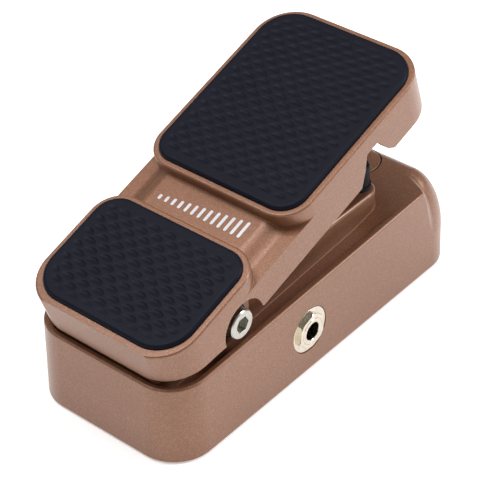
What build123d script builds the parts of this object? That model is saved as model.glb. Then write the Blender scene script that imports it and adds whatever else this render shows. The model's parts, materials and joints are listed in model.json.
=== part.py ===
"""Mini volume pedal: die-cast base, rocking treadle, and a potentiometer driven by a toothed sector."""
from build123d import *
import os
from math import acos, cos, pi, radians, sin, sqrt, tan

os.makedirs("parts", exist_ok=True)

# ---------------------------------------------------------------- driving dimensions (mm)
FOOT_PROUD = 0.8                     # rubber feet stand this far below the housing
BASE_LENGTH = 147.0
BASE_WIDTH = 64.0
BASE_CORNER = 14.0
WALL_DRAFT = 1.2                     # degrees, outer walls lean in towards the top
RIDGE_FRONT = 28.5                   # upper edge above the lower edge, at the heel end
RIDGE_SLOPE = 2.6                    # degrees, upper edge rises towards the toe
RIDGE_LEVEL_Y = 52.0                 # beyond this the top runs level
RIDGE_WALL = 2.2
RIDGE_ROUND = 0.8
RIDGE_INNER_ROUND = 0.35
REAR_ROUND_IN = 12.6                 # large rounding over the toe end, across the wall
REAR_ROUND_DOWN = 23.0               # and down it
WALL = 2.8
FLOOR_THICKNESS = 2.4
DECK_HALF = 21.8
DECK_FRONT_Y = -66.4
DECK_LIP_Y = -70.2
DECK_REAR_Y = 42.2
DECK_REAR_CORNER = 6.4
DECK_SKIN = 2.8
REAR_SKIN = 3.6

PIVOT_Y = -40.6
PIVOT_HEIGHT = 37.0
REST_TILT = 18.3                     # degrees, treadle pitch with the heel down
ROCK_TRAVEL = 18.0                   # degrees, heel down to toe down

TREAD_HALF = 31.0
HEEL_FRONT = -30.55                  # along the treadle, from the pivot
HEEL_REAR = 14.85
TOE_FRONT = 29.15
TOE_REAR = 104.55
HEEL_TOP = 15.95                     # square to the treadle, from the pivot
TOE_TOP = 16.5
BRIDGE_MID = 12.8
BRIDGE_EDGE = 10.3
SIDE_BOTTOM = -0.6
TOE_BOTTOM = 0.2
ARCH_SPRING = 0.45
ARCH_RADIUS = 9.0
END_CORNER = 14.0                    # treadle corners at its two outer ends
BLOCK_CORNER = 10.5                  # treadle corners beside the bridge
RIM_WIDTH = 1.95
RIM_ROUND = 0.7
TREAD_WALL = 2.9
PAD_SINK = 1.2
PAD_PROUD = 1.4
CEILING = 12.3
BRIDGE_CEILING = 7.5

LUG_INNER = 22.4                     # treadle lug, across the pedal
LUG_THICKNESS = 3.0
LUG_RADIUS = 8.5
BOLT_RADIUS = 3.0
BOLT_HEAD_RADIUS = 5.0
BOLT_HEAD_FROM = 26.0
BOLT_HEAD_TO = 30.0
BOLT_END = 11.0

JACK_Y = -9.5
JACK_HEIGHT = 15.7
JACK_BORE = 3.2
JACK_THREAD = 4.75
NUT_TURN = 21.0                      # degrees, how the jack nuts happen to sit
JACK_SEAT = 31.0                     # flat of the wall recess, across the pedal
JACK_WASHER = 0.5
JACK_NUT = 1.3
JACK_INNER = 26.9
JACK_MOUTH = 32.9

GEAR_MODULE = 0.7
SECTOR_TEETH = 144
PINION_TEETH = 16
PRESSURE_ANGLE = 25.0
BACKLASH = 0.16
POT_DROP = 12.0                      # degrees below level, from the pivot to the potentiometer

SLEEVE_RADIUS = 4.0
SECTOR_INNER = 42.0
SECTOR_HALF = 1.5
TAB_AT = 45.5                        # screw tab of the toothed sector, along the treadle
TAB_LENGTH = 18.0
TAB_BOTTOM = 4.5
TAB_SCREWS = 5.0
TAB_SCREW_HEIGHT = 8.0

CENTRE_SHIFT = 0.587                 # half of what the treadle overhangs the heel end of the base
SLACK = 0.3                          # gap left where the treadle meets its stops
SNUG = 0.02                          # radial gap of screws and pins in their holes
RUNNING = 0.05                       # radial running clearance

# ---------------------------------------------------------------- derived places
LOW = FOOT_PROUD
HALF_L = BASE_LENGTH / 2
HALF_W = BASE_WIDTH / 2
CORNER_X = HALF_W - BASE_CORNER
CORNER_Y = HALF_L - BASE_CORNER
PIVOT_Z = LOW + PIVOT_HEIGHT
TILT = radians(REST_TILT)
RIDGE_RISE = tan(radians(RIDGE_SLOPE))
REAR_TOP = LOW + RIDGE_FRONT + (RIDGE_LEVEL_Y + HALF_L) * RIDGE_RISE
TOP_LEAN = RIDGE_FRONT * tan(radians(WALL_DRAFT))
INNER_HALF = HALF_W - TOP_LEAN - RIDGE_WALL
INNER_FRONT = HALF_L - TOP_LEAN - RIDGE_WALL
INNER_CORNER = BASE_CORNER - TOP_LEAN - RIDGE_WALL
EDGE_AT_TOP = HALF_W - (REAR_TOP - LOW) * tan(radians(WALL_DRAFT))

FLOOR_FRONT = LOW + 22.0
FLOOR_REAR = LOW + 31.3
FLOOR_REAR_Y = 40.0
FLOOR_RISE = (FLOOR_REAR - FLOOR_FRONT) / (FLOOR_REAR_Y + HALF_L)
FLOOR_BLEND_Y = 24.0                 # the moat floor curves up from here to the rear top
MOAT_END_Y = 52.0
DECK_LOW = LOW + 35.0
DECK_TOP = LOW + 39.2
DECK_LIP_TOP = LOW + 29.0
DECK_LEVEL_Y = -25.0
CAVITY_LOW = LOW + 19.3
BARREL_RADIUS = 6.6

BUMPER_RADIUS = 4.6
BUMPER_FLANGE = 5.1
BUMPER_HEIGHT = 8.5
TOE_BUMPER_X = 14.5
TOE_BUMPER_Y = 36.8
HEEL_BUMPER_X = 12.0
HEEL_BUMPER_Y = -56.0
HEEL_BUMPER_HEIGHT = 6.4

COVER_Y = 54.2
COVER_RADIUS = 9.7
COVER_GAP = 0.6
COVER_SPIGOT = 7.8
COVER_THICKNESS = 2.0

PLATE_TOP = LOW + 2.0
BOARD_LOW = LOW + 7.4
BOARD_THICKNESS = 1.6
BOARD_TOP = BOARD_LOW + BOARD_THICKNESS
PLATE_POSTS = [(24.3, -60.0), (-24.3, -60.0), (23.5, 61.0), (-23.5, 61.0)]
BOARD_POSTS = [(23.5, 8.0), (-23.5, 8.0), (23.5, 42.0), (-23.5, 42.0)]
FEET = [(20.0, -45.0), (-20.0, -45.0), (20.0, 47.0), (-20.0, 47.0)]

SECTOR_RADIUS = GEAR_MODULE * SECTOR_TEETH / 2
PINION_RADIUS = GEAR_MODULE * PINION_TEETH / 2
POT_REACH = SECTOR_RADIUS + PINION_RADIUS
POT_Y = PIVOT_Y + POT_REACH * cos(radians(POT_DROP))
POT_Z = PIVOT_Z - POT_REACH * sin(radians(POT_DROP))

TOE_DOWN = radians(REST_TILT - ROCK_TRAVEL)
bumper_y = TOE_BUMPER_Y - PIVOT_Y
bumper_z = DECK_TOP + BUMPER_HEIGHT - PIVOT_Z
TOE_LANDING_AT = bumper_y * cos(TOE_DOWN) + bumper_z * sin(TOE_DOWN)
TOE_LANDING = bumper_z * cos(TOE_DOWN) - bumper_y * sin(TOE_DOWN) + SLACK

along = (0, cos(TILT), sin(TILT))
square = (0, -sin(TILT), cos(TILT))
pivot = (0, PIVOT_Y, PIVOT_Z)
tread_top = Plane(origin=pivot, x_dir=(1, 0, 0), z_dir=square)
tread_side = Plane(origin=pivot, x_dir=along, z_dir=(1, 0, 0))
tread_front = Plane(origin=pivot, x_dir=(1, 0, 0), z_dir=(0, -cos(TILT), -sin(TILT)))
pivot_side = Plane(origin=pivot, x_dir=(0, 1, 0), z_dir=(1, 0, 0))
pot_side = Plane(origin=(0, POT_Y, POT_Z), x_dir=(0, 1, 0), z_dir=(1, 0, 0))
jack_side = Plane(origin=(0, JACK_Y, LOW + JACK_HEIGHT), x_dir=(0, 1, 0), z_dir=(1, 0, 0))


def ridge(y):
    """Height of the housing's upper edge at y."""
    return LOW + RIDGE_FRONT + (min(y, RIDGE_LEVEL_Y) + HALF_L) * RIDGE_RISE


def floor_at(y):
    """Height of the moat floor at y."""
    return FLOOR_FRONT + (y + HALF_L) * FLOOR_RISE


def deck_at(y):
    """Height of the deck's top at y."""
    rise = (y - DECK_FRONT_Y) / (DECK_LEVEL_Y - DECK_FRONT_Y)
    return DECK_LOW + (DECK_TOP - DECK_LOW) * min(1.0, rise)


HEEL_LANDING = deck_at(HEEL_BUMPER_Y) + HEEL_BUMPER_HEIGHT + SLACK


def save(part, name):
    """Label a finished piece and write its file, moved so the whole pedal is centred on the origin."""
    placed = part.moved(Location((0, CENTRE_SHIFT, 0)))
    placed.label = name
    export_step(placed, f"parts/{name}.step")


def round_cutter(across, down):
    """Area outside an elliptical rounding of the wall's upper corner; local x outwards, local y up."""
    reach = across + down * tan(radians(WALL_DRAFT)) + 0.02
    inner_x = EDGE_AT_TOP - across
    bottom_z = REAR_TOP - down
    with BuildSketch(Plane.XY) as section:
        with BuildLine():
            EllipticalCenterArc((inner_x, bottom_z), reach, down, start_angle=0, arc_size=90)
            Polyline((inner_x, REAR_TOP), (inner_x, REAR_TOP + 3), (EDGE_AT_TOP + 3, REAR_TOP + 3),
                     (EDGE_AT_TOP + 3, bottom_z), (inner_x + reach, bottom_z))
        make_face()
    return section.sketch


def ridge_edges(builder, half_width):
    """Edges along the upper edge of the wall, heel end and both sides, at this half width."""
    chosen = []
    for edge in builder.edges():
        spot = edge.center()
        if spot.Y > 10 or edge.length < 5 or abs(spot.Z - ridge(spot.Y)) > 0.9:
            continue
        past_x = max(0.0, abs(spot.X) - CORNER_X)
        past_y = max(0.0, -spot.Y - CORNER_Y)
        if abs(sqrt(past_x ** 2 + past_y ** 2) - (half_width - CORNER_X)) < 0.3:
            chosen.append(edge)
    return chosen


# ---------------------------------------------------------------- base housing
growing_rounds = []
for step in range(6):
    share = (step / 5) ** 2 * (3 - 2 * step / 5)
    across = RIDGE_ROUND + (REAR_ROUND_IN - RIDGE_ROUND) * share
    down = RIDGE_ROUND + (REAR_ROUND_DOWN - RIDGE_ROUND) * share
    growing_rounds.append(round_cutter(across, down))
large_round = growing_rounds[-1]

with BuildPart() as rear_rounds:
    for step, outline in enumerate(growing_rounds):
        y = RIDGE_LEVEL_Y + (CORNER_Y - RIDGE_LEVEL_Y) * step / 5
        with BuildSketch(Plane.XZ.offset(-y)):
            add(outline)
    loft()
    with BuildSketch(Plane.XZ.offset(-CORNER_Y)):
        add(large_round)
    revolve(axis=Axis((CORNER_X, CORNER_Y, 0), (0, 0, 1)), revolution_arc=90)
    mirror(about=Plane.YZ)
    with BuildSketch(Plane.YZ):
        with Locations((HALF_L - HALF_W, 0)):
            add(large_round)
    extrude(amount=CORNER_X, both=True)

with BuildPart() as moat:
    with BuildSketch(Plane.XY.offset(LOW + 10)):
        RectangleRounded(2 * INNER_HALF, 2 * INNER_FRONT, INNER_CORNER)
    extrude(amount=40)
    with BuildSketch(Plane.YZ):
        with BuildLine():
            blend_from = (FLOOR_BLEND_Y, floor_at(FLOOR_BLEND_Y))
            Line((-HALF_L, floor_at(-HALF_L)), blend_from)
            Spline(blend_from, (MOAT_END_Y, REAR_TOP), tangents=[(1, FLOOR_RISE), (1, 0)])
            Polyline((MOAT_END_Y, REAR_TOP), (MOAT_END_Y, REAR_TOP + 20),
                     (-HALF_L, REAR_TOP + 20), (-HALF_L, floor_at(-HALF_L)))
        make_face()
    extrude(amount=HALF_W, both=True, mode=Mode.INTERSECT)

with BuildPart() as deck:
    with BuildSketch(Plane.YZ):
        with BuildLine():
            Polyline((DECK_LIP_Y, LOW + 18), (DECK_LIP_Y, DECK_LIP_TOP), (DECK_FRONT_Y, DECK_LIP_TOP),
                     (DECK_FRONT_Y, DECK_LOW), (DECK_LEVEL_Y, DECK_TOP), (DECK_REAR_Y, DECK_TOP),
                     (DECK_REAR_Y, LOW + 18), (DECK_LIP_Y, LOW + 18))
        make_face()
    extrude(amount=DECK_HALF, both=True)
    uprights = deck.edges().filter_by(Axis.Z).filter_by(lambda e: e.length > 4).sort_by(Axis.Y)
    fillet(uprights[-2:], radius=DECK_REAR_CORNER)
    fillet(uprights[:-2], radius=2.0)
    fillet(deck.edges().filter_by(lambda e: e.center().Z > DECK_LOW - 1 and e.length > 2)
           .filter_by(Axis.Z, reverse=True), radius=1.2)

with BuildPart() as cavity:
    with BuildSketch(Plane.XY.offset(LOW - 1)):
        RectangleRounded(BASE_WIDTH - 2 * WALL, BASE_LENGTH - 2 * WALL, BASE_CORNER - WALL)
    extrude(amount=CAVITY_LOW - LOW + 1)
    with BuildSketch(Plane.YZ):
        with BuildLine():
            Polyline((-62, LOW + 10), (-62, floor_at(-62) - FLOOR_THICKNESS),
                     (42, floor_at(42) - FLOOR_THICKNESS), (42, LOW + 10), (-62, LOW + 10))
        make_face()
    extrude(amount=INNER_HALF - 0.8, both=True)
    with BuildSketch(Plane.YZ):
        with BuildLine():
            Polyline((DECK_FRONT_Y + DECK_SKIN, LOW + 10), (DECK_FRONT_Y + DECK_SKIN, DECK_LOW - DECK_SKIN),
                     (DECK_LEVEL_Y, DECK_TOP - DECK_SKIN), (DECK_REAR_Y - DECK_SKIN, DECK_TOP - DECK_SKIN),
                     (DECK_REAR_Y - DECK_SKIN, LOW + 10), (DECK_FRONT_Y + DECK_SKIN, LOW + 10))
        make_face()
    extrude(amount=DECK_HALF - DECK_SKIN, both=True)
    with BuildSketch(Plane.XY.offset(LOW + 10)):
        with Locations((0, 49.2)):
            RectangleRounded(40, 22.5, 3)
    extrude(amount=REAR_TOP - REAR_SKIN - LOW - 10)

with BuildPart() as envelope:
    with BuildSketch(Plane.XY.offset(LOW)):
        RectangleRounded(BASE_WIDTH, BASE_LENGTH, BASE_CORNER)
    extrude(amount=45, taper=WALL_DRAFT)
    with BuildSketch(Plane.YZ):
        with BuildLine():
            Polyline((-90, 0), (-90, ridge(-90)), (RIDGE_LEVEL_Y, REAR_TOP), (90, REAR_TOP), (90, 0), (-90, 0))
        make_face()
    extrude(amount=60, both=True, mode=Mode.INTERSECT)
    add(rear_rounds.part, mode=Mode.SUBTRACT)
    fillet(ridge_edges(envelope, HALF_W - TOP_LEAN), radius=RIDGE_ROUND)

with BuildPart() as base_housing:
    add(envelope.part)
    add(moat.part, mode=Mode.SUBTRACT)
    fillet(ridge_edges(base_housing, INNER_HALF), radius=RIDGE_INNER_ROUND)
    add(deck.part)
    add(cavity.part, mode=Mode.SUBTRACT)
    with BuildSketch(pivot_side):
        Circle(BARREL_RADIUS)
    extrude(amount=DECK_HALF, both=True)
    for x, y in PLATE_POSTS:
        with BuildSketch(Plane.XY.offset(PLATE_TOP)):
            with Locations((x, y)):
                Circle(3.6)
        extrude(amount=CAVITY_LOW - PLATE_TOP + 1)
    for x, y in BOARD_POSTS:
        with BuildSketch(Plane.XY.offset(BOARD_TOP)):
            with Locations((x, y)):
                Circle(3.0)
        extrude(amount=floor_at(y) - FLOOR_THICKNESS - BOARD_TOP + 1)
    with BuildSketch(Plane.XY.offset(PLATE_TOP)):
        with Locations(*PLATE_POSTS):
            Circle(1.5 + SNUG)
    extrude(amount=11, mode=Mode.SUBTRACT)
    with BuildSketch(Plane.XY.offset(BOARD_TOP)):
        with Locations(*BOARD_POSTS):
            Circle(1.25 + SNUG)
    extrude(amount=8, mode=Mode.SUBTRACT)
    for side in (1, -1):
        with BuildSketch(pivot_side.offset(side * DECK_HALF)):
            Circle(BOLT_RADIUS + SNUG)
        extrude(amount=side * (BOLT_END - DECK_HALF - 0.5), mode=Mode.SUBTRACT)
        with BuildSketch(jack_side.offset(side * JACK_SEAT)):
            Circle(8.4)
        extrude(amount=side * 3, mode=Mode.SUBTRACT)
        with BuildSketch(jack_side.offset(side * JACK_SEAT)):
            Circle(JACK_THREAD + 0.1)
        extrude(amount=side * -5, mode=Mode.SUBTRACT)
    with BuildSketch(Plane.XY.offset(DECK_TOP - 6)):
        with Locations((0, 5.3)):
            RectangleRounded(5.2, 12.8, 1.5)
    extrude(amount=8, mode=Mode.SUBTRACT)
    with BuildSketch(Plane.XY.offset(DECK_TOP - 8)):
        with Locations((TOE_BUMPER_X, TOE_BUMPER_Y), (-TOE_BUMPER_X, TOE_BUMPER_Y),
                       (HEEL_BUMPER_X, HEEL_BUMPER_Y), (-HEEL_BUMPER_X, HEEL_BUMPER_Y)):
            Circle(2.0 + SNUG)
    extrude(amount=10, mode=Mode.SUBTRACT)
    with BuildSketch(Plane.XY.offset(REAR_TOP - COVER_THICKNESS)):
        with Locations((0, COVER_Y)):
            Circle(COVER_RADIUS + COVER_GAP)
    extrude(amount=4, mode=Mode.SUBTRACT)
    with BuildSketch(Plane.XY.offset(REAR_TOP - COVER_THICKNESS)):
        with Locations((0, COVER_Y)):
            Circle(COVER_SPIGOT + 0.1)
    extrude(amount=-8, mode=Mode.SUBTRACT)
save(base_housing.part, "base_housing")

with BuildPart() as hole_cover:
    with BuildSketch(Plane.XY.offset(REAR_TOP - COVER_THICKNESS)):
        with Locations((0, COVER_Y)):
            Circle(COVER_RADIUS)
    extrude(amount=4)
    add(envelope.part, mode=Mode.INTERSECT)
    add(moat.part, mode=Mode.SUBTRACT)
    with BuildSketch(Plane.XY.offset(REAR_TOP - COVER_THICKNESS)):
        with Locations((0, COVER_Y)):
            Circle(COVER_SPIGOT)
    extrude(amount=-2.0)
save(hole_cover.part, "hole_cover")


# ---------------------------------------------------------------- bottom plate, screws and feet
with BuildPart() as bottom_plate:
    with BuildSketch(Plane.XY.offset(LOW)):
        RectangleRounded(BASE_WIDTH - 2 * WALL - 0.3, BASE_LENGTH - 2 * WALL - 0.3, BASE_CORNER - WALL - 0.15)
    extrude(amount=PLATE_TOP - LOW)
    with BuildSketch(Plane.XY.offset(LOW)):
        with Locations(*FEET):
            Circle(6.05)
    extrude(amount=0.9, mode=Mode.SUBTRACT)
    with BuildSketch(Plane.XY.offset(LOW)):
        with Locations(*PLATE_POSTS):
            Circle(1.7)
    extrude(amount=PLATE_TOP - LOW, mode=Mode.SUBTRACT)
    with BuildSketch(Plane.XY.offset(LOW)):
        with Locations(*PLATE_POSTS):
            Circle(3.1)
    extrude(amount=1.4, taper=45, mode=Mode.SUBTRACT)
save(bottom_plate.part, "bottom_plate")

with BuildPart() as bottom_screws:
    for place in PLATE_POSTS:
        with BuildSketch(Plane.XY.offset(LOW)):
            with Locations(place):
                Circle(3.0)
        extrude(amount=1.5, taper=45)
        with BuildSketch(Plane.XY.offset(LOW)):
            with Locations(place):
                Circle(1.5)
        extrude(amount=12)
        with BuildSketch(Plane.XY.offset(LOW)):
            with Locations(place):
                RegularPolygon(1.0, 6, major_radius=False)
        extrude(amount=1.1, mode=Mode.SUBTRACT)
save(bottom_screws.part, "bottom_screws")

with BuildPart() as rubber_feet:
    with BuildSketch(Plane.XY):
        with Locations(*FEET):
            Circle(6.0)
    extrude(amount=LOW + 0.9)
    chamfer(rubber_feet.edges().group_by(Axis.Z)[0], 0.3)
save(rubber_feet.part, "rubber_feet")


# ---------------------------------------------------------------- treadle
def block(front, rear, top, inset, bottom, corners):
    """A block square to the treadle, shrunk by inset all round; corners are its front and rear radii."""
    with BuildPart() as body:
        with BuildSketch(tread_top.offset(bottom)) as plan:
            with Locations((0, (front + rear) / 2)):
                Rectangle(2 * (TREAD_HALF - inset), rear - front - 2 * inset)
            fillet(plan.vertices().sort_by(Axis.Y)[:2], radius=corners[0] - inset)
            fillet(plan.vertices().sort_by(Axis.Y)[-2:], radius=corners[1] - inset)
        extrude(amount=top - bottom)
    return body


tread_axis = Axis(pivot, square)
HEEL_CORNERS = (END_CORNER, BLOCK_CORNER)
TOE_CORNERS = (BLOCK_CORNER, END_CORNER)
heel_block = block(HEEL_FRONT - 0.9, HEEL_REAR, HEEL_TOP, 0, -10, HEEL_CORNERS)
toe_block = block(TOE_FRONT, TOE_REAR, TOE_TOP, 0, -10, TOE_CORNERS)
heel_recess = block(HEEL_FRONT, HEEL_REAR, HEEL_TOP + 5, RIM_WIDTH, HEEL_TOP - PAD_SINK, HEEL_CORNERS)
toe_recess = block(TOE_FRONT, TOE_REAR, TOE_TOP + 5, RIM_WIDTH, TOE_TOP - PAD_SINK, TOE_CORNERS)
heel_hollow = block(HEEL_FRONT, HEEL_REAR, CEILING, TREAD_WALL, 0, HEEL_CORNERS)
toe_hollow = block(TOE_FRONT, TOE_REAR, CEILING, TREAD_WALL, 0, TOE_CORNERS)
under_hollow = block(HEEL_FRONT, TOE_REAR, BRIDGE_CEILING, TREAD_WALL, -15, (END_CORNER, END_CORNER))

with BuildPart() as side_profile:
    with BuildSketch(tread_side) as profile:
        with BuildLine():
            Polyline((9, ARCH_SPRING), (9, SIDE_BOTTOM), (61.2, SIDE_BOTTOM), (64.6, 4.6), (66.8, 9.9),
                     (72.8, 9.9), (76.6, 2.9), (79.6, TOE_BOTTOM), (TOE_REAR, TOE_BOTTOM), (TOE_REAR, 25),
                     (-30.0, 25), (-31.45, 3.6))
            ThreePointArc((-31.45, 3.6), (-19.5, 2.65), (-9, ARCH_SPRING))
            ThreePointArc((-9, ARCH_SPRING), (0, ARCH_SPRING + ARCH_RADIUS), (9, ARCH_SPRING))
        make_face()
        fillet(profile.vertices().sort_by(Axis.X)[-9:-2], radius=1.0)
    extrude(amount=TREAD_HALF + 2, both=True)

with BuildPart() as treadle:
    add(heel_block.part)
    fillet(treadle.edges().group_by(tread_axis)[-1], radius=RIM_ROUND)
    add(toe_block.part)
    fillet(treadle.edges().group_by(tread_axis)[-1], radius=RIM_ROUND)
    with BuildSketch(tread_front.offset(-42)):
        with BuildLine():
            Polyline((0, -10), (TREAD_HALF, -10), (TREAD_HALF, BRIDGE_EDGE), (26.5, BRIDGE_EDGE))
            Spline((26.5, BRIDGE_EDGE), (19.5, BRIDGE_MID), tangents=[(-1, 0), (-1, 0)])
            Polyline((19.5, BRIDGE_MID), (0, BRIDGE_MID), (0, -10))
        make_face()
        mirror(about=Plane.YZ)
    extrude(amount=40)
    add(side_profile.part, mode=Mode.INTERSECT)
    add(heel_recess.part, mode=Mode.SUBTRACT)
    add(toe_recess.part, mode=Mode.SUBTRACT)
    add(heel_hollow.part, mode=Mode.SUBTRACT)
    add(toe_hollow.part, mode=Mode.SUBTRACT)
    add(under_hollow.part, mode=Mode.SUBTRACT)
    for side in (1, -1):
        with BuildSketch(tread_side.offset(side * LUG_INNER)):
            Circle(LUG_RADIUS)
            with Locations((0, CEILING / 2 + 0.2)):
                Rectangle(2 * LUG_RADIUS, CEILING + 0.4)
        extrude(amount=side * LUG_THICKNESS)
        with BuildSketch(tread_side.offset(side * LUG_INNER)):
            Circle(SLEEVE_RADIUS + SNUG)
        extrude(amount=side * LUG_THICKNESS, mode=Mode.SUBTRACT)
    with BuildSketch(tread_top.offset(TOE_LANDING)):
        with Locations((TOE_BUMPER_X, TOE_LANDING_AT), (-TOE_BUMPER_X, TOE_LANDING_AT)):
            Circle(5.5)
    extrude(amount=CEILING + 0.5 - TOE_LANDING)
    with BuildSketch(Plane.XY.offset(HEEL_LANDING)):
        with Locations((HEEL_BUMPER_X, HEEL_BUMPER_Y), (-HEEL_BUMPER_X, HEEL_BUMPER_Y)):
            Circle(5.0)
    extrude(amount=PIVOT_Z + (HEEL_BUMPER_Y - PIVOT_Y) * tan(TILT) + CEILING / cos(TILT) + 0.3 - HEEL_LANDING)
    with BuildSketch(tread_top.offset(9.0)):
        for x in (8.2, -8.2, 21.5, -21.5):
            with Locations((x, 78)):
                Rectangle(2.0, 48)
        with Locations((0, 86)):
            Rectangle(57, 2.0)
    extrude(amount=CEILING + 0.4 - 9.0)
    with BuildSketch(tread_side.offset(SECTOR_HALF)):
        with Locations((TAB_AT, (CEILING + 0.4 + TAB_BOTTOM) / 2)):
            Rectangle(TAB_LENGTH, CEILING + 0.4 - TAB_BOTTOM)
    extrude(amount=4.5)
    with BuildSketch(tread_side.offset(SECTOR_HALF)):
        with Locations((TAB_AT - TAB_SCREWS, TAB_SCREW_HEIGHT), (TAB_AT + TAB_SCREWS, TAB_SCREW_HEIGHT)):
            Circle(1.25 + SNUG)
    extrude(amount=4.0, mode=Mode.SUBTRACT)
save(treadle.part, "treadle")


def pad(front, rear, top, corners):
    """A rubber tread pad sunk into its rim."""
    body = block(front, rear, top + PAD_PROUD, RIM_WIDTH + 0.05, top - PAD_SINK, corners)
    with BuildPart() as rounded:
        add(body.part)
        fillet(rounded.edges().group_by(tread_axis)[-1], radius=1.1)
    return rounded.part


save(pad(HEEL_FRONT, HEEL_REAR, HEEL_TOP, HEEL_CORNERS), "heel_pad")
save(pad(TOE_FRONT, TOE_REAR, TOE_TOP, TOE_CORNERS), "toe_pad")

# ---------------------------------------------------------------- bumpers on the deck
heel_deck = deck_at(HEEL_BUMPER_Y)
with BuildPart() as toe_bumpers:
    for x in (TOE_BUMPER_X, -TOE_BUMPER_X):
        with BuildSketch(Plane.XY.offset(DECK_TOP)):
            with Locations((x, TOE_BUMPER_Y)):
                Circle(BUMPER_FLANGE)
        extrude(amount=1.2)
        with BuildSketch(Plane.XY.offset(DECK_TOP)):
            with Locations((x, TOE_BUMPER_Y)):
                Circle(BUMPER_RADIUS)
        extrude(amount=BUMPER_HEIGHT)
        with BuildSketch(Plane.XY.offset(DECK_TOP)):
            with Locations((x, TOE_BUMPER_Y)):
                Circle(2.0)
        extrude(amount=-2.8)
    fillet(toe_bumpers.edges().group_by(Axis.Z)[-1], radius=0.8)
save(toe_bumpers.part, "toe_bumpers")

with BuildPart() as heel_bumpers:
    for x in (HEEL_BUMPER_X, -HEEL_BUMPER_X):
        with BuildSketch(Plane.XY.offset(heel_deck - 3.0)):
            with Locations((x, HEEL_BUMPER_Y)):
                Circle(2.0)
        extrude(amount=3.0)
        with BuildSketch(Plane.XY.offset(heel_deck + 0.5)):
            with Locations((x, HEEL_BUMPER_Y)):
                Circle(BUMPER_RADIUS)
        extrude(amount=HEEL_BUMPER_HEIGHT - 0.5)
        with BuildSketch(Plane.XY.offset(heel_deck)):
            with Locations((x, HEEL_BUMPER_Y)):
                Circle(2.0)
        extrude(amount=1.0)
    fillet(heel_bumpers.edges().group_by(Axis.Z)[-1], radius=0.8)
save(heel_bumpers.part, "heel_bumpers")

# ---------------------------------------------------------------- pivot hardware, both sides
for side, name in ((1, "right"), (-1, "left")):
    with BuildPart() as pivot_bolt:
        with BuildSketch(pivot_side.offset(side * BOLT_END)):
            Circle(BOLT_RADIUS)
        extrude(amount=side * (BOLT_HEAD_FROM - BOLT_END))
        with BuildSketch(pivot_side.offset(side * BOLT_HEAD_FROM)):
            Circle(BOLT_HEAD_RADIUS)
        extrude(amount=side * (BOLT_HEAD_TO - BOLT_HEAD_FROM))
        rim = pivot_bolt.edges().filter_by(lambda e: abs(abs(e.center().X) - BOLT_HEAD_TO) < 0.01)
        chamfer(rim, 0.35)
        with BuildSketch(pivot_side.offset(side * BOLT_HEAD_TO)):
            RegularPolygon(2.5, 6, major_radius=False)
        extrude(amount=side * -2.4, mode=Mode.SUBTRACT)
    save(pivot_bolt.part, f"pivot_bolt_{name}")

    with BuildPart() as pivot_bushing:
        with BuildSketch(pivot_side.offset(side * LUG_INNER)):
            Circle(SLEEVE_RADIUS)
        extrude(amount=side * LUG_THICKNESS)
        with BuildSketch(pivot_side.offset(side * (LUG_INNER + LUG_THICKNESS))):
            Circle(6.0)
        extrude(amount=side * 0.5)
        with BuildSketch(pivot_side.offset(side * LUG_INNER)):
            Circle(BOLT_RADIUS + RUNNING)
        extrude(amount=side * 5, mode=Mode.SUBTRACT)
    save(pivot_bushing.part, f"pivot_bushing_{name}")

    with BuildPart() as pivot_washer:
        with BuildSketch(pivot_side.offset(side * DECK_HALF)):
            Circle(5.5)
            Circle(BOLT_RADIUS + SNUG, mode=Mode.SUBTRACT)
        extrude(amount=side * 0.5)
    save(pivot_washer.part, f"pivot_washer_{name}")

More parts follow.
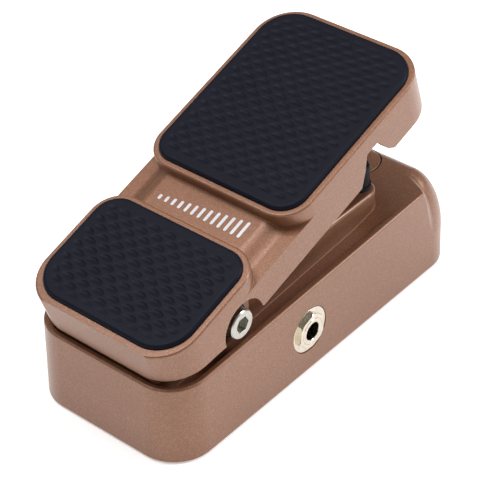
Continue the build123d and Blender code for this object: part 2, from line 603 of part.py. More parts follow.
# ---------------------------------------------------------------- jacks, both sides
for side, name in ((1, "input"), (-1, "output")):
    with BuildPart() as jack_body:
        with BuildSketch(jack_side.offset(side * 8.0)):
            Rectangle(14.0, 2 * (JACK_HEIGHT - BOARD_TOP + LOW))
        extrude(amount=side * 20.3)
        with BuildSketch(jack_side.offset(side * 8.0)):
            Rectangle(8.4, 8.4)
        extrude(amount=side * 20.3, mode=Mode.SUBTRACT)
        with BuildSketch(jack_side.offset(side * JACK_INNER)):
            Circle(JACK_THREAD + SNUG)
        extrude(amount=side * 2.0, mode=Mode.SUBTRACT)
        for angle, start in ((0, 12.0), (180, 12.0), (270, 20.0)):
            with BuildSketch(jack_side.offset(side * start)):
                with PolarLocations(JACK_BORE + 0.8, 1, start_angle=angle):
                    Rectangle(2.0, 2.0)
            extrude(amount=side * 6.0, mode=Mode.SUBTRACT)
    save(jack_body.part, f"{name}_jack_body")

    with BuildPart() as jack_bushing:
        with BuildSketch(jack_side.offset(side * JACK_INNER)):
            Circle(JACK_THREAD)
            Circle(JACK_BORE, mode=Mode.SUBTRACT)
        extrude(amount=side * (JACK_MOUTH - JACK_INNER))
        mouth = jack_bushing.edges().filter_by(lambda e: abs(abs(e.center().X) - JACK_MOUTH) < 0.01)
        chamfer(mouth, 0.15)
    save(jack_bushing.part, f"{name}_jack_bushing")

    with BuildPart() as jack_washer:
        with BuildSketch(jack_side.offset(side * JACK_SEAT)):
            Circle(8.1)
            Circle(JACK_THREAD + 0.1, mode=Mode.SUBTRACT)
        extrude(amount=side * JACK_WASHER)
    save(jack_washer.part, f"{name}_jack_washer")

    with BuildPart() as jack_nut:
        with BuildSketch(jack_side.offset(side * (JACK_SEAT + JACK_WASHER))):
            RegularPolygon(5.85, 6, major_radius=False, rotation=NUT_TURN)
        extrude(amount=side * JACK_NUT)
        with BuildSketch(jack_side.offset(side * (JACK_SEAT + JACK_WASHER))):
            Circle(7.3)
        extrude(amount=side * JACK_NUT, taper=40, mode=Mode.INTERSECT)
        with BuildSketch(jack_side.offset(side * (JACK_SEAT + JACK_WASHER))):
            Circle(JACK_THREAD + SNUG)
        extrude(amount=side * JACK_NUT, mode=Mode.SUBTRACT)
    save(jack_nut.part, f"{name}_jack_nut")

    with BuildPart() as jack_contacts:
        for angle, start in ((0, 12.0), (180, 12.0), (270, 20.0)):
            with BuildSketch(jack_side.offset(side * start)):
                with PolarLocations(JACK_BORE + 1.2, 1, start_angle=angle):
                    Rectangle(0.5, 1.6)
            extrude(amount=side * 6.0)
    save(jack_contacts.part, f"{name}_jack_contacts")

# ---------------------------------------------------------------- circuit board
with BuildPart() as circuit_board:
    with BuildSketch(Plane.XY.offset(BOARD_LOW)):
        with Locations((0, 14.5)):
            RectangleRounded(53, 67, 2.0)
        with Locations(*BOARD_POSTS):
            Circle(1.4, mode=Mode.SUBTRACT)
        with Locations((0, 0)):
            RectangleRounded(7, 18, 1.0, mode=Mode.SUBTRACT)
        with Locations((13.0, POT_Y - 4), (13.0, POT_Y), (13.0, POT_Y + 4)):
            Rectangle(1.0, 1.8, mode=Mode.SUBTRACT)
    extrude(amount=BOARD_THICKNESS)
save(circuit_board.part, "circuit_board")

with BuildPart() as board_screws:
    for place in BOARD_POSTS:
        with BuildSketch(Plane.XY.offset(BOARD_LOW)):
            with Locations(place):
                Circle(2.3)
        extrude(amount=-1.6)
        with BuildSketch(Plane.XY.offset(BOARD_LOW)):
            with Locations(place):
                Circle(1.25)
        extrude(amount=8)
        with BuildSketch(Plane.XY.offset(BOARD_LOW - 1.6)):
            with Locations(place):
                Rectangle(3.0, 0.6)
                Rectangle(0.6, 3.0)
        extrude(amount=0.9, mode=Mode.SUBTRACT)
save(board_screws.part, "board_screws")

with BuildPart() as board_chips:
    for x, y, long, wide, high in ((-12, 22, 9, 4, 1.5), (-12, 31, 9, 4, 1.5), (3, 38, 5, 4, 1.5)):
        with BuildSketch(Plane.XY.offset(BOARD_TOP)):
            with Locations((x, y)):
                Rectangle(long, wide)
        extrude(amount=high)
save(board_chips.part, "board_chips")

with BuildPart() as board_capacitors:
    for x, y in ((14, 40), (-4, 44), (-20, 24)):
        with BuildSketch(Plane.XY.offset(BOARD_TOP)):
            with Locations((x, y)):
                Circle(2.5)
        extrude(amount=6.0)
        fillet(board_capacitors.edges().group_by(Axis.Z)[-1], radius=0.4)
save(board_capacitors.part, "board_capacitors")

# ---------------------------------------------------------------- potentiometer and its bracket
with BuildPart() as potentiometer_body:
    with BuildSketch(pot_side.offset(8.4)):
        Circle(8.0)
    extrude(amount=9.0)
    with BuildSketch(pot_side.offset(8.4)):
        Circle(3.5)
    extrude(amount=-4.2)
    with BuildSketch(Plane.XY.offset(BOARD_LOW - 1.0)):
        with Locations((13.0, POT_Y - 4), (13.0, POT_Y), (13.0, POT_Y + 4)):
            Rectangle(0.8, 1.6)
    extrude(amount=POT_Z - 4 - BOARD_LOW)
    with BuildSketch(pot_side.offset(4.0)):
        Circle(3.0 + RUNNING)
    extrude(amount=11.0, mode=Mode.SUBTRACT)
save(potentiometer_body.part, "potentiometer_body")

with BuildPart() as potentiometer_bracket:
    with BuildSketch(Plane.YZ.offset(7.0)):
        with Locations((POT_Y, (POT_Z + 9 + BOARD_TOP) / 2)):
            Rectangle(20, POT_Z + 9 - BOARD_TOP)
    extrude(amount=1.2)
    with BuildSketch(Plane.XY.offset(BOARD_TOP)):
        with Locations((9.6, POT_Y - 7.5), (9.6, POT_Y + 7.5)):
            Rectangle(5.2, 5.0)
    extrude(amount=1.2)
    with BuildSketch(pot_side.offset(7.0)):
        Circle(3.5 + SNUG)
    extrude(amount=1.2, mode=Mode.SUBTRACT)
save(potentiometer_bracket.part, "potentiometer_bracket")

with BuildPart() as potentiometer_nut:
    with BuildSketch(pot_side.offset(5.0)):
        RegularPolygon(5.0, 6, major_radius=False)
        Circle(3.5 + SNUG, mode=Mode.SUBTRACT)
    extrude(amount=2.0)
save(potentiometer_nut.part, "potentiometer_nut")

with BuildPart() as potentiometer_shaft:
    with BuildSketch(pot_side.offset(-6.0)):
        Circle(3.0)
    extrude(amount=20.8)
    with BuildSketch(pot_side.offset(-6.0)):
        with Locations((0, 3.0)):
            Rectangle(8, 1.0)
    extrude(amount=4.0, mode=Mode.SUBTRACT)
save(potentiometer_shaft.part, "potentiometer_shaft")


# ---------------------------------------------------------------- gears
def involute(angle):
    """Involute function of a pressure angle in radians."""
    return tan(angle) - angle


def tooth(teeth, turn):
    """Outline points of one gear tooth centred at the angle turn, root to root, counter-clockwise."""
    pitch_radius = GEAR_MODULE * teeth / 2
    base = pitch_radius * cos(radians(PRESSURE_ANGLE))
    root = pitch_radius - 1.25 * GEAR_MODULE
    tip = pitch_radius + 0.95 * GEAR_MODULE
    half_at_pitch = pi / (2 * teeth) - BACKLASH / (4 * pitch_radius)
    rising = []
    for step in range(6):
        radius = max(base, root) + (tip - max(base, root)) * step / 5
        half = half_at_pitch + involute(radians(PRESSURE_ANGLE)) - involute(acos(base / radius))
        rising.append((radius, half))
    if root < base:
        rising.insert(0, (root, rising[0][1]))
    right = [(radius * cos(turn - half), radius * sin(turn - half)) for radius, half in rising]
    left = [(radius * cos(turn + half), radius * sin(turn + half)) for radius, half in reversed(rising)]
    return right + left


contact = radians(-POT_DROP)
pinion_outline = []
for index in range(PINION_TEETH):
    pinion_outline += tooth(PINION_TEETH, contact + pi + (index + 0.5) * 2 * pi / PINION_TEETH)
with BuildPart() as pinion_gear:
    with BuildSketch(pot_side.offset(-2.0)):
        with BuildLine():
            Polyline(*pinion_outline, close=True)
        make_face()
    extrude(amount=4.0)
    with BuildSketch(pot_side.offset(-2.0)):
        Circle(4.6)
    extrude(amount=-4.0)
    with BuildSketch(pot_side.offset(-6.0)):
        Circle(3.0 + SNUG)
    extrude(amount=8.0, mode=Mode.SUBTRACT)
    with BuildSketch(Plane.XY.offset(POT_Z + 2.5)):
        with Locations((-4.0, POT_Y)):
            Circle(1.0 + SNUG)
    extrude(amount=3, mode=Mode.SUBTRACT)
save(pinion_gear.part, "pinion_gear")

with BuildPart() as pinion_set_screw:
    with BuildSketch(Plane.XY.offset(POT_Z + 2.52)):
        with Locations((-4.0, POT_Y)):
            Circle(1.0)
    extrude(amount=2.2)
save(pinion_set_screw.part, "pinion_set_screw")

pitch_angle = 2 * pi / SECTOR_TEETH
sector_outline = []
for index in range(-3, 11):
    sector_outline += tooth(SECTOR_TEETH, contact + index * pitch_angle)
first_angle = contact - 3.6 * pitch_angle
last_angle = contact + 10.6 * pitch_angle
end_angle = TILT + radians(15)
sector_root = SECTOR_RADIUS - 1.25 * GEAR_MODULE
with BuildPart() as sector_gear:
    with BuildSketch(pivot_side.offset(-SECTOR_HALF)):
        with BuildLine():
            start = (sector_root * cos(first_angle), sector_root * sin(first_angle))
            rim_start = (sector_root * cos(last_angle), sector_root * sin(last_angle))
            rim_mid = (sector_root * cos((last_angle + end_angle) / 2), sector_root * sin((last_angle + end_angle) / 2))
            rim_end = (sector_root * cos(end_angle), sector_root * sin(end_angle))
            inner_end = (SECTOR_INNER * cos(end_angle), SECTOR_INNER * sin(end_angle))
            middle = (first_angle + end_angle) / 2
            inner_mid = (SECTOR_INNER * cos(middle), SECTOR_INNER * sin(middle))
            inner_start = (SECTOR_INNER * cos(first_angle), SECTOR_INNER * sin(first_angle))
            Polyline(start, *sector_outline, rim_start)
            ThreePointArc(rim_start, rim_mid, rim_end)
            Line(rim_end, inner_end)
            ThreePointArc(inner_end, inner_mid, inner_start)
            Line(inner_start, start)
        make_face()
    extrude(amount=2 * SECTOR_HALF)
    with BuildSketch(tread_side.offset(-SECTOR_HALF)):
        with Locations((TAB_AT, (CEILING + TAB_BOTTOM) / 2)):
            Rectangle(TAB_LENGTH, CEILING - TAB_BOTTOM)
    extrude(amount=2 * SECTOR_HALF)
    with BuildSketch(tread_top.offset(CEILING - 0.2)):
        with Locations((0, TAB_AT)):
            Rectangle(20, 60)
    extrude(amount=10, mode=Mode.SUBTRACT)
    with BuildSketch(tread_side.offset(-SECTOR_HALF)):
        with Locations((TAB_AT - TAB_SCREWS, TAB_SCREW_HEIGHT), (TAB_AT + TAB_SCREWS, TAB_SCREW_HEIGHT)):
            Circle(1.35)
    extrude(amount=2 * SECTOR_HALF, mode=Mode.SUBTRACT)
save(sector_gear.part, "sector_gear")

with BuildPart() as sector_screws:
    for shift in (-TAB_SCREWS, TAB_SCREWS):
        with BuildSketch(tread_side.offset(-SECTOR_HALF)):
            with Locations((TAB_AT + shift, TAB_SCREW_HEIGHT)):
                Circle(1.25)
        extrude(amount=2 * SECTOR_HALF + 3.6)
        with BuildSketch(tread_side.offset(-SECTOR_HALF)):
            with Locations((TAB_AT + shift, TAB_SCREW_HEIGHT)):
                Circle(2.2)
        extrude(amount=-1.5)
        with BuildSketch(tread_side.offset(-SECTOR_HALF - 1.5)):
            with Locations((TAB_AT + shift, TAB_SCREW_HEIGHT)):
                RegularPolygon(1.0, 6, major_radius=False)
        extrude(amount=0.9, mode=Mode.SUBTRACT)
save(sector_screws.part, "sector_screws")
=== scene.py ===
import json
import math
import bpy
from mathutils import Matrix, Vector


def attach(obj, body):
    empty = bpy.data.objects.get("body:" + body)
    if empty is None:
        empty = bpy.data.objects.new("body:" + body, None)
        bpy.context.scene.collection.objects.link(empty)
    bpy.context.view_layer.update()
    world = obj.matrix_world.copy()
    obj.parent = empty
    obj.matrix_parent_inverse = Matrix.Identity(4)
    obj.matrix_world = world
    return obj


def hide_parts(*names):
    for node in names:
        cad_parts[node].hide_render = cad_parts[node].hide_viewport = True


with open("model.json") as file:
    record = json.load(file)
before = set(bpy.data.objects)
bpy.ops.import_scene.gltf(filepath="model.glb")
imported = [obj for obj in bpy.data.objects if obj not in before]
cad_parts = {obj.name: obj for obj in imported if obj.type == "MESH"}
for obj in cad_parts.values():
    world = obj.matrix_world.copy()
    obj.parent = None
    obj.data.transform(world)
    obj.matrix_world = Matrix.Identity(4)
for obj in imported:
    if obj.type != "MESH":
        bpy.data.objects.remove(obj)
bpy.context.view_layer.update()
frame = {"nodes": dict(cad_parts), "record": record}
nodes = frame["nodes"]

MM = 0.001
SHIFT_Y = 0.587                      # the frame's centre, from the housing's own centre, in millimetres
FOOT = 0.8                           # how far the rubber feet stand proud of the housing
PIVOT = Vector((0.0, (-40.6 + SHIFT_Y) * MM, (37.0 + FOOT) * MM))
TILT = math.radians(18.3)            # the treadle's slope at rest


TARNISH = (0.25, 0.22, 0.18)


# ------------------------------------------------------------------ material helpers
def new_material(name):
    mat = bpy.data.materials.new(name)
    mat.use_nodes = True
    tree = mat.node_tree
    tree.nodes.clear()
    out = tree.nodes.new("ShaderNodeOutputMaterial")
    bsdf = tree.nodes.new("ShaderNodeBsdfPrincipled")
    tree.links.new(bsdf.outputs["BSDF"], out.inputs["Surface"])
    return mat, tree, bsdf


def coords(tree):
    node = tree.nodes.new("ShaderNodeTexCoord")
    return node.outputs["Object"]


def noise(tree, vector, scale, detail=3.0, rough=0.55):
    node = tree.nodes.new("ShaderNodeTexNoise")
    tree.links.new(vector, node.inputs["Vector"])
    node.inputs["Scale"].default_value = scale
    node.inputs["Detail"].default_value = detail
    node.inputs["Roughness"].default_value = rough
    return node.outputs["Fac"]


def ramp(tree, fac, stops):
    node = tree.nodes.new("ShaderNodeValToRGB")
    while len(node.color_ramp.elements) < len(stops):
        node.color_ramp.elements.new(0.5)
    for element, (place, colour) in zip(node.color_ramp.elements, stops):
        element.position = place
        element.color = (*colour, 1.0)
    tree.links.new(fac, node.inputs["Fac"])
    return node.outputs["Color"]


def remap(tree, fac, low, high):
    node = tree.nodes.new("ShaderNodeMapRange")
    tree.links.new(fac, node.inputs["Value"])
    node.inputs["To Min"].default_value = low
    node.inputs["To Max"].default_value = high
    return node.outputs["Result"]


def mix(tree, fac, one, two):
    node = tree.nodes.new("ShaderNodeMix")
    node.data_type = "RGBA"
    if isinstance(fac, float):
        node.inputs[0].default_value = fac
    else:
        tree.links.new(fac, node.inputs[0])
    for socket, value in ((node.inputs[6], one), (node.inputs[7], two)):
        if isinstance(value, tuple):
            socket.default_value = (*value, 1.0)
        else:
            tree.links.new(value, socket)
    return node.outputs[2]


def rounded_normal(tree, radius):
    node = tree.nodes.new("ShaderNodeBevel")
    node.samples = 4
    node.inputs["Radius"].default_value = radius
    return node.outputs["Normal"]


def bump(tree, height, strength, distance, normal=None):
    node = tree.nodes.new("ShaderNodeBump")
    node.inputs["Strength"].default_value = strength
    node.inputs["Distance"].default_value = distance
    tree.links.new(height, node.inputs["Height"])
    if normal is not None:
        tree.links.new(normal, node.inputs["Normal"])
    return node.outputs["Normal"]


def convex_edge_mask(tree, radius, width=0.25):
    """0 on flat faces, rising to 1 on convex edges and corners."""
    geometry = tree.nodes.new("ShaderNodeNewGeometry")
    bevel = tree.nodes.new("ShaderNodeBevel")
    bevel.samples = 4
    bevel.inputs["Radius"].default_value = radius
    dot = tree.nodes.new("ShaderNodeVectorMath")
    dot.operation = "DOT_PRODUCT"
    tree.links.new(geometry.outputs["Normal"], dot.inputs[0])
    tree.links.new(bevel.outputs["Normal"], dot.inputs[1])
    node = tree.nodes.new("ShaderNodeMapRange")
    tree.links.new(dot.outputs["Value"], node.inputs["Value"])
    node.inputs["From Min"].default_value = 1.0
    node.inputs["From Max"].default_value = 1.0 - width
    return node.outputs["Result"]


def copper_paint():
    """Metallic copper-bronze paint: fine flakes, a clear coat with slight orange peel, and a painted
    highlight of paler colour on convex edges.
    """
    mat, tree, bsdf = new_material("copper_paint")
    place = coords(tree)
    flake = tree.nodes.new("ShaderNodeTexVoronoi")
    flake.inputs["Scale"].default_value = 3800.0
    tree.links.new(place, flake.inputs["Vector"])
    grain = noise(tree, place, 2600.0, 2.0, 0.6)
    cloud = noise(tree, place, 45.0, 3.0)
    base = ramp(tree, cloud, [(0.3, (0.225, 0.088, 0.038)), (0.7, (0.252, 0.100, 0.044))])
    sparkle = ramp(tree, flake.outputs["Color"], [(0.1, (0.17, 0.068, 0.032)), (0.55, (0.245, 0.098, 0.044)),
                                                  (0.97, (0.46, 0.24, 0.14))])
    colour = mix(tree, 0.5, base, sparkle)
    # painted highlight: convex edges blended towards a paler copper, standing in for light catching the
    # rounded edges
    edge_highlight = convex_edge_mask(tree, 0.0005)
    colour = mix(tree, remap(tree, edge_highlight, 0.0, 0.6), colour, (0.56, 0.31, 0.20))
    tree.links.new(colour, bsdf.inputs["Base Color"])
    bsdf.inputs["Metallic"].default_value = 0.45
    tree.links.new(remap(tree, grain, 0.42, 0.56), bsdf.inputs["Roughness"])
    bsdf.inputs["Coat Weight"].default_value = 0.7
    bsdf.inputs["Coat Roughness"].default_value = 0.30
    peel = bump(tree, noise(tree, place, 900.0, 2.0), 0.10, 0.00006, rounded_normal(tree, 0.0004))
    flaked = bump(tree, grain, 0.25, 0.00005, peel)
    tree.links.new(flaked, bsdf.inputs["Normal"])
    return mat


def rubber(name, dark, light, rough, grain_size=1500.0, strength=0.25):
    """Moulded rubber: fine matt grain, a faint paler tone on its convex edges."""
    mat, tree, bsdf = new_material(name)
    place = coords(tree)
    speck = noise(tree, place, grain_size, 3.0, 0.65)
    cloud = noise(tree, place, 90.0, 3.0)
    colour = ramp(tree, cloud, [(0.3, dark), (0.75, light)])
    colour = mix(tree, remap(tree, convex_edge_mask(tree, 0.0004), 0.0, 0.15), colour, (0.05, 0.05, 0.058))
    tree.links.new(colour, bsdf.inputs["Base Color"])
    tree.links.new(remap(tree, speck, rough - 0.08, rough + 0.08), bsdf.inputs["Roughness"])
    bsdf.inputs["Specular IOR Level"].default_value = 0.14
    bsdf.inputs["Specular Tint"].default_value = (0.80, 0.84, 1.0, 1.0)
    tree.links.new(bump(tree, speck, strength, 0.00006), bsdf.inputs["Normal"])
    return mat


def metal(name, colour, rough, spread=0.08, metallic=1.0, brushed=False):
    """Plated or machined metal: fine scratches, a little tarnish in random patches."""
    mat, tree, bsdf = new_material(name)
    place = coords(tree)
    stretch = tree.nodes.new("ShaderNodeMapping")
    stretch.inputs["Scale"].default_value = (1.0, 9.0 if brushed else 1.0, 1.0)
    tree.links.new(place, stretch.inputs["Vector"])
    fine = noise(tree, stretch.outputs["Vector"], 1800.0, 4.0, 0.7)
    stain = noise(tree, place, 350.0, 4.0, 0.6)
    tarnished = tuple(0.82 * clean + 0.18 * dull for clean, dull in zip(colour, TARNISH))
    shade = ramp(tree, stain, [(0.35, tarnished), (0.65, colour)])
    tree.links.new(shade, bsdf.inputs["Base Color"])
    bsdf.inputs["Metallic"].default_value = metallic
    tree.links.new(remap(tree, fine, rough - spread, rough + spread), bsdf.inputs["Roughness"])
    tree.links.new(bump(tree, fine, 0.05, 0.00003, rounded_normal(tree, 0.00015)), bsdf.inputs["Normal"])
    return mat


def plastic(name, colour, rough, grain_size=1400.0, strength=0.15):
    """Moulded plastic with a fine texture."""
    mat, tree, bsdf = new_material(name)
    place = coords(tree)
    speck = noise(tree, place, grain_size, 3.0, 0.6)
    cloud = noise(tree, place, 120.0, 2.0)
    tree.links.new(ramp(tree, cloud, [(0.3, tuple(0.85 * c for c in colour)), (0.7, colour)]),
                   bsdf.inputs["Base Color"])
    tree.links.new(remap(tree, speck, rough - 0.07, rough + 0.07), bsdf.inputs["Roughness"])
    bsdf.inputs["Specular IOR Level"].default_value = 0.3
    tree.links.new(bump(tree, speck, strength, 0.00005, rounded_normal(tree, 0.0002)), bsdf.inputs["Normal"])
    return mat


paint = copper_paint()
pad_rubber = rubber("pad_rubber", (0.0050, 0.0053, 0.0105), (0.0068, 0.0072, 0.0138), 0.5, 1900.0, 0.18)
black_rubber = rubber("black_rubber", (0.012, 0.012, 0.014), (0.018, 0.018, 0.02), 0.55)
bolt_steel = metal("bolt_steel", (0.50, 0.49, 0.45), 0.30, brushed=True)
screw_steel = metal("screw_steel", (0.55, 0.55, 0.56), 0.32)
nickel = metal("nickel", (0.74, 0.68, 0.57), 0.16, 0.04)
brass = metal("brass", (0.78, 0.57, 0.28), 0.28)
zinc = metal("zinc", (0.62, 0.62, 0.60), 0.38)
black_steel = metal("black_steel", (0.03, 0.03, 0.032), 0.5, metallic=0.3)
black_nylon = plastic("black_nylon", (0.006, 0.006, 0.007), 0.55)
white_nylon = plastic("white_nylon", (0.72, 0.70, 0.65), 0.42)
board_green = plastic("board_green", (0.02, 0.13, 0.05), 0.3, 700.0)
capacitor = plastic("capacitor", (0.04, 0.07, 0.18), 0.25)
ink_white = plastic("ink_white", (0.90, 0.89, 0.92), 0.5)

by_slot = {"copper_paint": paint, "black_steel": black_steel, "screw_steel": screw_steel,
           "black_rubber": black_rubber, "pad_rubber": pad_rubber, "bolt_steel": bolt_steel,
           "black_nylon": black_nylon, "white_nylon": white_nylon, "board_green": board_green,
           "capacitor_blue": capacitor, "bracket_zinc": zinc, "nickel": nickel, "brass": brass}
for part in frame["record"]["subparts"]:
    item = nodes[part["node"]]
    item.data.materials.clear()
    item.data.materials.append(by_slot[part["material_slot"]])


# ------------------------------------------------------------------ mesh helpers
def treadle_point(x, s, t):
    """A point given across, along and square to the treadle from the pivot, in millimetres."""
    return Vector((x * MM, PIVOT.y + (s * math.cos(TILT) - t * math.sin(TILT)) * MM,
                   PIVOT.z + (s * math.sin(TILT) + t * math.cos(TILT)) * MM))


def make_object(name, verts, faces, material, body, smooth=True):
    mesh = bpy.data.meshes.new(name)
    mesh.from_pydata([tuple(v) for v in verts], [], faces)
    mesh.update()
    obj = bpy.data.objects.new(name, mesh)
    bpy.context.scene.collection.objects.link(obj)
    mesh.materials.append(material)
    for face in mesh.polygons:
        face.use_smooth = smooth
    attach(obj, body)
    return obj


def ring(half_x, half_y, radius, per_side, per_corner):
    """Points round a rounded rectangle, counter-clockwise, the same count for any size."""
    radius = max(radius, 0.0)
    points = []
    centres = [(half_x - radius, half_y - radius, 0), (radius - half_x, half_y - radius, 90),
               (radius - half_x, radius - half_y, 180), (half_x - radius, radius - half_y, 270)]
    for index, (cx, cy, start) in enumerate(centres):
        for step in range(per_corner):
            angle = math.radians(start + 90 * step / per_corner)
            points.append((cx + radius * math.cos(angle), cy + radius * math.sin(angle)))
        nx, ny, following = centres[(index + 1) % 4]
        end, begin = math.radians(start + 90), math.radians(following)
        here = (cx + radius * math.cos(end), cy + radius * math.sin(end))
        there = (nx + radius * math.cos(begin), ny + radius * math.sin(begin))
        for step in range(per_side):
            share = step / per_side
            points.append((here[0] + (there[0] - here[0]) * share, here[1] + (there[1] - here[1]) * share))
    return points


# pads and their dimples, in millimetres
ROW_PITCH = 2.75
COLUMN_PITCH = 6.2
DIMPLE_X = 2.5                       # half the dimple's width
DIMPLE_S = 1.15                      # and half its length along the treadle
DIMPLE_DEPTH = 0.34
PAD_HALF_X = 29.0
PAD_GAP = 2.0                        # the treadle's rim beyond each end of a pad
PAD_EDGE = 1.2                       # rounding of the upper edge
PAD_PROUD = 1.4
PAD_THICKNESS = 2.6
PAD_MARGIN = 2.8                     # plain border before the dimples start
GRID_ACROSS = 0.25
GRID_ALONG = 0.30
CORNER_STEPS = 26


def dimple_depth(x, s):
    """How far the pad sinks here: lens-shaped dimples in staggered rows, steeper on their toe side."""
    deepest = 0.0
    row = round(s / ROW_PITCH)
    for r in (row - 1, row, row + 1):
        offset = 0.5 * COLUMN_PITCH if r % 2 else 0.0
        column = round((x - offset) / COLUMN_PITCH)
        across = (x - offset - column * COLUMN_PITCH) / DIMPLE_X
        up = (s - r * ROW_PITCH) / DIMPLE_S
        if abs(across) >= 1.0:
            continue
        up += 0.35 * across ** 2
        reach = across ** 2 + (up / 0.85 if up > 0 else up / 1.1) ** 2
        if reach < 1.0:
            deepest = max(deepest, (1.0 - reach) * (0.75 + 0.35 * up))
    return DIMPLE_DEPTH * deepest


def pad_outline(front, rear, inset, corners, per_side):
    """Points round a pad shrunk by inset; corners are its radii at the front and the rear."""
    left, right = inset - PAD_HALF_X, PAD_HALF_X - inset
    low, high = front + inset, rear - inset
    near = max(corners[0] - inset, 0.0)
    far = max(corners[1] - inset, 0.0)
    arcs = [(right - far, high - far, far, 0), (left + far, high - far, far, 90),
            (left + near, low + near, near, 180), (right - near, low + near, near, 270)]
    points = []
    for index, (cx, cy, radius, start) in enumerate(arcs):
        for step in range(CORNER_STEPS):
            angle = math.radians(start + 90 * step / CORNER_STEPS)
            points.append((cx + radius * math.cos(angle), cy + radius * math.sin(angle)))
        nx, ny, next_radius, following = arcs[(index + 1) % 4]
        end, begin = math.radians(start + 90), math.radians(following)
        here = (cx + radius * math.cos(end), cy + radius * math.sin(end))
        there = (nx + next_radius * math.cos(begin), ny + next_radius * math.sin(begin))
        for step in range(per_side[index % 2]):
            share = step / per_side[index % 2]
            points.append((here[0] + (there[0] - here[0]) * share, here[1] + (there[1] - here[1]) * share))
    return points


def make_pad(name, node, front, rear, top, row_shift, corners):
    """A rubber tread pad with staggered dimples, a plain margin and a rounded edge."""
    front += PAD_GAP
    rear -= PAD_GAP
    middle = (front + rear) / 2
    surface = top + PAD_PROUD
    insets = [0.0, 0.06, 0.16, 0.30, 0.48, 0.70, 0.95, 1.25, 1.6, 2.0, 2.4, PAD_MARGIN]
    reach = min(PAD_HALF_X, (rear - front) / 2) - 0.2
    steps = int((reach - PAD_MARGIN) / GRID_ACROSS)
    insets += [PAD_MARGIN + (reach - PAD_MARGIN) * (k + 1) / steps for k in range(steps)]
    per_side = (int(2 * PAD_HALF_X / GRID_ALONG), int((rear - front) / GRID_ALONG))
    verts = []
    rings = []
    for inset in insets:
        loop = []
        for x, s in pad_outline(front, rear, inset, corners, per_side):
            drop = PAD_EDGE - math.sqrt(max(0.0, PAD_EDGE ** 2 - (PAD_EDGE - min(inset, PAD_EDGE)) ** 2))
            sunk = 0.0
            if inset > PAD_MARGIN:
                sunk = min(1.0, (inset - PAD_MARGIN) / 1.5) * dimple_depth(x, s - middle + row_shift)
            loop.append(len(verts))
            verts.append(treadle_point(x, s, surface - drop - sunk))
        rings.append(loop)
    wall = []
    for x, s in pad_outline(front, rear, 0.0, corners, per_side):
        wall.append(len(verts))
        verts.append(treadle_point(x, s, surface - PAD_THICKNESS))
    rings.insert(0, wall)
    faces = []
    for outer, inner in zip(rings, rings[1:]):
        count = len(outer)
        for k in range(count):
            faces.append((outer[k], outer[(k + 1) % count], inner[(k + 1) % count], inner[k]))
    faces.append(tuple(reversed(wall)))
    faces.append(tuple(rings[-1]))
    pad = make_object(name, verts, faces, pad_rubber, "treadle")
    weld = pad.modifiers.new("weld", "WELD")
    weld.merge_threshold = 0.00001
    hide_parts(node)
    return pad


make_pad("toe_pad_rubber", "toe_pad", 29.15, 104.55, 16.5, 0.4, (8.5, 12.0))
make_pad("heel_pad_rubber", "heel_pad", -30.55, 14.85, 15.95, 0.9, (12.0, 8.5))


# ------------------------------------------------------------------ printed level marks on the bridge
def printed_bars(name, bars):
    """Thin printed bars on the bridge with rounded ends; each is centre x, centre s and half length."""
    verts = []
    faces = []
    for x, s, half_s in bars:
        outline = ring(BAR_HALF_X, half_s, min(BAR_HALF_X, half_s) * 0.9, 2, 6)
        low = len(verts)
        for height in (-0.05, 0.04):
            for px, ps in outline:
                verts.append(treadle_point(x + px, s + ps, BRIDGE_TOP + height))
        count = len(outline)
        faces.append(tuple(low + count + k for k in range(count)))
        faces.append(tuple(low + count - 1 - k for k in range(count)))
        for k in range(count):
            nxt = (k + 1) % count
            faces.append((low + k, low + nxt, low + count + nxt, low + count + k))
    return make_object(name, verts, faces, ink_white, "treadle", smooth=False)


BAR_COUNT = 13
BAR_PITCH = 2.7
BAR_HALF_X = 0.55
BAR_FOOT = 22.0 - 2.6                # where every bar starts, along the treadle
BRIDGE_TOP = 12.8
bars = []
for index in range(BAR_COUNT):
    half_s = 1.0 + 0.19 * index
    bars.append((-16.2 + BAR_PITCH * index, BAR_FOOT + half_s, half_s))
printed_bars("level_marks", bars)


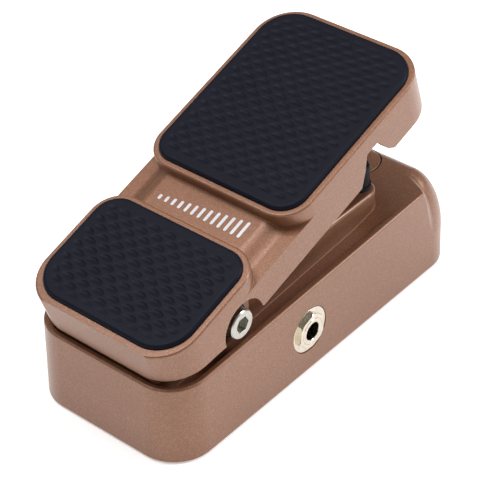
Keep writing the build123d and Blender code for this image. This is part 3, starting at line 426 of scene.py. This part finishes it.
# ------------------------------------------------------------------ camera, floor and light
azimuth, elevation, roll = math.radians(40.37), math.radians(37.10), math.radians(-1.06)
level = math.cos(elevation)
back = Vector((math.sin(azimuth) * level, -math.cos(azimuth) * level, math.sin(elevation)))
right0 = Vector((math.cos(azimuth), math.sin(azimuth), 0.0))
up0 = back.cross(right0)
right = right0 * math.cos(roll) + up0 * math.sin(roll)
up = -right0 * math.sin(roll) + up0 * math.cos(roll)
camera_data = bpy.data.cameras.new("camera")
camera_data.sensor_width = 36.0
camera_data.lens = 136.716
camera_data.shift_x = -5.84 / 480
camera_data.shift_y = -0.66 / 480
camera_data.clip_start = 0.01
camera_data.clip_end = 20.0
camera = bpy.data.objects.new("camera", camera_data)
rotation = Matrix((right, up, back)).transposed().to_4x4()
stand = Vector((0.3062, -0.3632 + SHIFT_Y * MM, 0.3907 + FOOT * MM))
camera.matrix_world = Matrix.Translation(stand) @ rotation
bpy.context.scene.collection.objects.link(camera)
bpy.context.scene.camera = camera

floor_mat, tree, bsdf = new_material("floor")
mottle = noise(tree, coords(tree), 8.0, 2.0)
paleness = ramp(tree, mottle, [(0.3, (0.97, 0.97, 0.97)), (0.7, (0.98, 0.98, 0.98))])
tree.links.new(paleness, bsdf.inputs["Base Color"])
bsdf.inputs["Roughness"].default_value = 0.9
bsdf.inputs["Specular IOR Level"].default_value = 0.1
bsdf.inputs["Emission Color"].default_value = (1.0, 1.0, 1.0, 1.0)
bsdf.inputs["Emission Strength"].default_value = 0.42
floor_mesh = bpy.data.meshes.new("floor")
floor_mesh.from_pydata([(-6, -6, 0), (6, -6, 0), (6, 6, 0), (-6, 6, 0)], [], [(0, 1, 2, 3)])
floor = bpy.data.objects.new("floor", floor_mesh)
floor_mesh.materials.append(floor_mat)
bpy.context.scene.collection.objects.link(floor)

world = bpy.data.worlds.new("studio")
world.use_nodes = True
background = world.node_tree.nodes["Background"]
background.inputs["Color"].default_value = (1.0, 1.0, 1.0, 1.0)
background.inputs["Strength"].default_value = 0.22
bpy.context.scene.world = world
LIT_POINT = Vector((0.0, 0.0, 0.04))


def softbox(name, place, side, power):
    """A square white lamp aimed at the middle of the pedal."""
    data = bpy.data.lights.new(name, "AREA")
    data.shape = "RECTANGLE"
    data.size = data.size_y = side
    data.energy = power
    lamp = bpy.data.objects.new(name, data)
    lamp.location = place
    lamp.rotation_euler = (LIT_POINT - Vector(place)).to_track_quat("-Z", "Y").to_euler()
    bpy.context.scene.collection.objects.link(lamp)


softbox("key", (-0.36, -0.22, 1.15), 0.6, 7.5)
softbox("top", (0.15, 0.30, 1.2), 0.8, 5.0)
softbox("rim", (0.75, 0.76, 0.66), 0.25, 7.0)

view = bpy.context.scene.view_settings
view.view_transform = "Standard"
view.look = "None"
view.exposure = 0.0
